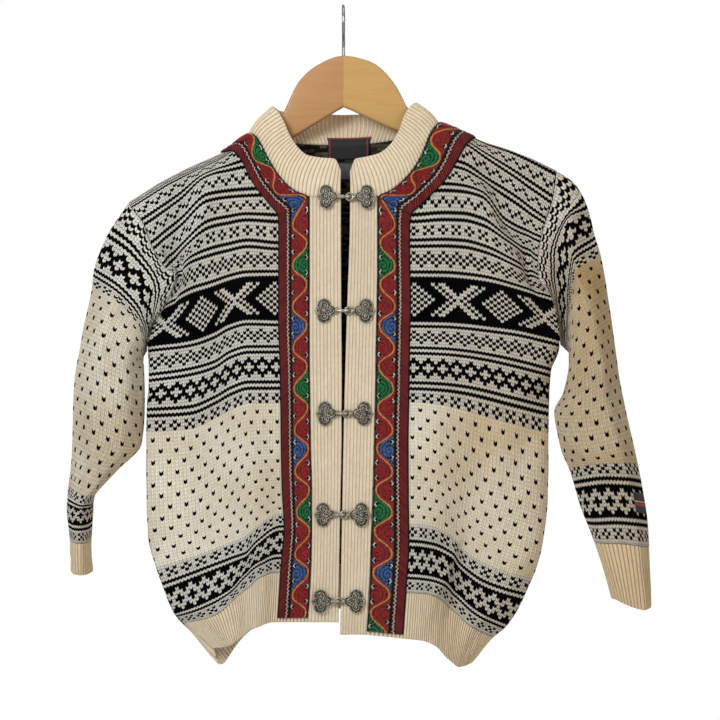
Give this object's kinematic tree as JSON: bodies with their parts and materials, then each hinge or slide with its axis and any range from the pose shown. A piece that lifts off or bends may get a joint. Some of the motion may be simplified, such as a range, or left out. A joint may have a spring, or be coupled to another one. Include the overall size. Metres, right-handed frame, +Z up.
{
  "type": "patterned knitted cardigan on a hanger",
  "caption": "stranded-knit wool cardigan in cream and black with ribbed collar, bands, cuffs and hem, woven trim and metal hook clasps, hanging on a wooden hanger",
  "frame": {"origin": "the point at the top inside of the hanger's hook that bears on a rail", "axes": "+Z up, +X towards the wearer's left (the right of a front view), the front faces -Y; the depth of the hanging cardigan lies along Y"},
  "size_m": [0.5877, 0.0872, 0.6665],
  "materials": {
    "back": "stranded two-colour wool knit, cream and black",
    "band_left": "ribbed cream wool knit",
    "band_right": "ribbed cream wool knit",
    "care_tag": "grey care tag, blank",
    "clasp_1_eye": "antiqued pewter-grey cast metal",
    "clasp_1_hook": "antiqued pewter-grey cast metal",
    "clasp_2_eye": "antiqued pewter-grey cast metal",
    "clasp_2_hook": "antiqued pewter-grey cast metal",
    "clasp_3_eye": "antiqued pewter-grey cast metal",
    "clasp_3_hook": "antiqued pewter-grey cast metal",
    "clasp_4_eye": "antiqued pewter-grey cast metal",
    "clasp_4_hook": "antiqued pewter-grey cast metal",
    "clasp_5_eye": "antiqued pewter-grey cast metal",
    "clasp_5_hook": "antiqued pewter-grey cast metal",
    "collar": "ribbed cream wool knit",
    "cuff_left": "ribbed cream wool knit",
    "cuff_right": "ribbed cream wool knit",
    "front_left": "stranded two-colour wool knit, cream and black",
    "front_right": "stranded two-colour wool knit, cream and black",
    "hanger_half_left": "clear-varnished light wood",
    "hanger_half_right": "clear-varnished light wood",
    "hem_rib_back": "ribbed cream wool knit",
    "hem_rib_front_left": "ribbed cream wool knit",
    "hem_rib_front_right": "ribbed cream wool knit",
    "hook_wire": "bright plated steel wire",
    "neck_label": "dark woven label, blank",
    "sleeve_badge": "dark woven badge with a red band, blank",
    "sleeve_left": "stranded two-colour wool knit, cream and black",
    "sleeve_right": "stranded two-colour wool knit, cream and black",
    "trim_back": "woven wool trim with coloured wave",
    "trim_left": "woven wool trim with coloured wave",
    "trim_right": "woven wool trim with coloured wave"
  },
  "bodies": {
    "root": {"back": "back", "band_left": "band_left", "band_right": "band_right", "care_tag": "care_tag", "clasp_1_eye": "clasp_1_eye", "clasp_1_hook": "clasp_1_hook", "clasp_2_eye": "clasp_2_eye", "clasp_2_hook": "clasp_2_hook", "clasp_3_eye": "clasp_3_eye", "clasp_3_hook": "clasp_3_hook", "clasp_4_eye": "clasp_4_eye", "clasp_4_hook": "clasp_4_hook", "clasp_5_eye": "clasp_5_eye", "clasp_5_hook": "clasp_5_hook", "collar": "collar", "cuff_left": "cuff_left", "cuff_right": "cuff_right", "front_left": "front_left", "front_right": "front_right", "hanger_half_left": "hanger_half_left", "hanger_half_right": "hanger_half_right", "hem_rib_back": "hem_rib_back", "hem_rib_front_left": "hem_rib_front_left", "hem_rib_front_right": "hem_rib_front_right", "hook_wire": "hook_wire", "neck_label": "neck_label", "sleeve_badge": "sleeve_badge", "sleeve_left": "sleeve_left", "sleeve_right": "sleeve_right", "trim_back": "trim_back", "trim_left": "trim_left", "trim_right": "trim_right"}
  },
  "joints": []
}
